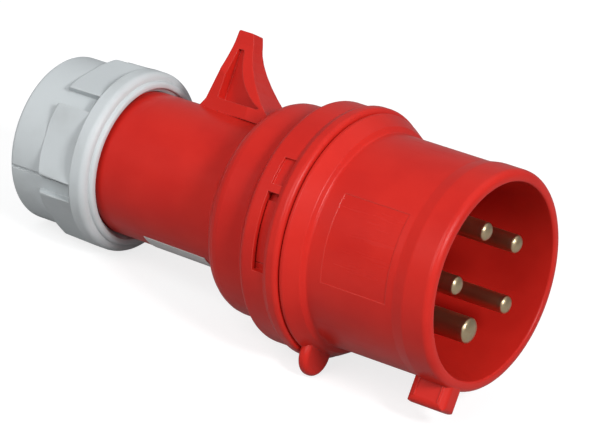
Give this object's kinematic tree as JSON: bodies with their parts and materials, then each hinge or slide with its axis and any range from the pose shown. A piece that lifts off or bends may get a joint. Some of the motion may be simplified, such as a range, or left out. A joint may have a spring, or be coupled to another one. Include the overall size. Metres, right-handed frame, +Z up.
{
  "type": "industrial pin and sleeve plug",
  "caption": "Round industrial power plug: a keyed sleeve round bare contacts, a stepped housing with a pull fin and a clamping cable gland, lying on its side.",
  "frame": {"origin": "centre of the sleeve's rim, on the plug's axis", "axes": "+Z up; the axis runs along +X out of the mouth and is pitched up, because the plug lies on the housing's crest and the gland nut; the pull fin leans to +Y until the flange tab touches the ground"},
  "size_m": [0.1505, 0.069, 0.0699],
  "materials": {
    "red_plastic": "satin gloss moulding",
    "carrier_black": "satin",
    "contact_metal": "nickel plated, polished",
    "screw_steel": "zinc plated",
    "seal_rubber": "matt",
    "inner_grey": "satin",
    "grey_plastic": "satin",
    "label_white": "smooth paper"
  },
  "bodies": {
    "front": {"front_sleeve": "red_plastic", "contact_carrier": "carrier_black", "carrier_cover": "carrier_black", "pin_l1": "contact_metal", "pin_l2": "contact_metal", "pin_l3": "contact_metal", "pin_n": "contact_metal", "pin_pe": "contact_metal", "terminal_screw_l1": "screw_steel", "terminal_screw_l2": "screw_steel", "terminal_screw_l3": "screw_steel", "terminal_screw_n": "screw_steel", "terminal_screw_pe": "screw_steel", "carrier_screw_left": "screw_steel", "carrier_screw_right": "screw_steel", "housing_seal": "seal_rubber"},
    "rear": {"rear_housing": "red_plastic", "clamping_basket": "inner_grey", "cable_seal_outer": "seal_rubber", "cable_seal_inner": "seal_rubber", "type_label": "label_white"},
    "slip": {"slip_ring": "inner_grey"},
    "nut": {"gland_nut": "grey_plastic"}
  },
  "joints": [
    {"name": "housing_twist", "type": "hinge", "parent": "front", "child": "rear", "pos_m": [0, 0, 0], "axis": [0.993, 0, 0.1183], "range_deg": [0, 40]},
    {"name": "gland_nut_travel", "type": "slide", "parent": "rear", "child": "slip", "axis": [-0.993, 0, -0.1183], "range_m": [0, 0.0121]},
    {"name": "gland_nut_turn", "type": "hinge", "parent": "slip", "child": "nut", "pos_m": [0, 0, 0], "axis": [-0.993, 0, -0.1183], "range_deg": [0, 1440]}
  ],
  "couplings": [
    {"joint": "gland_nut_travel", "follows": "gland_nut_turn", "m_per_rad": 0.00047746}
  ]
}
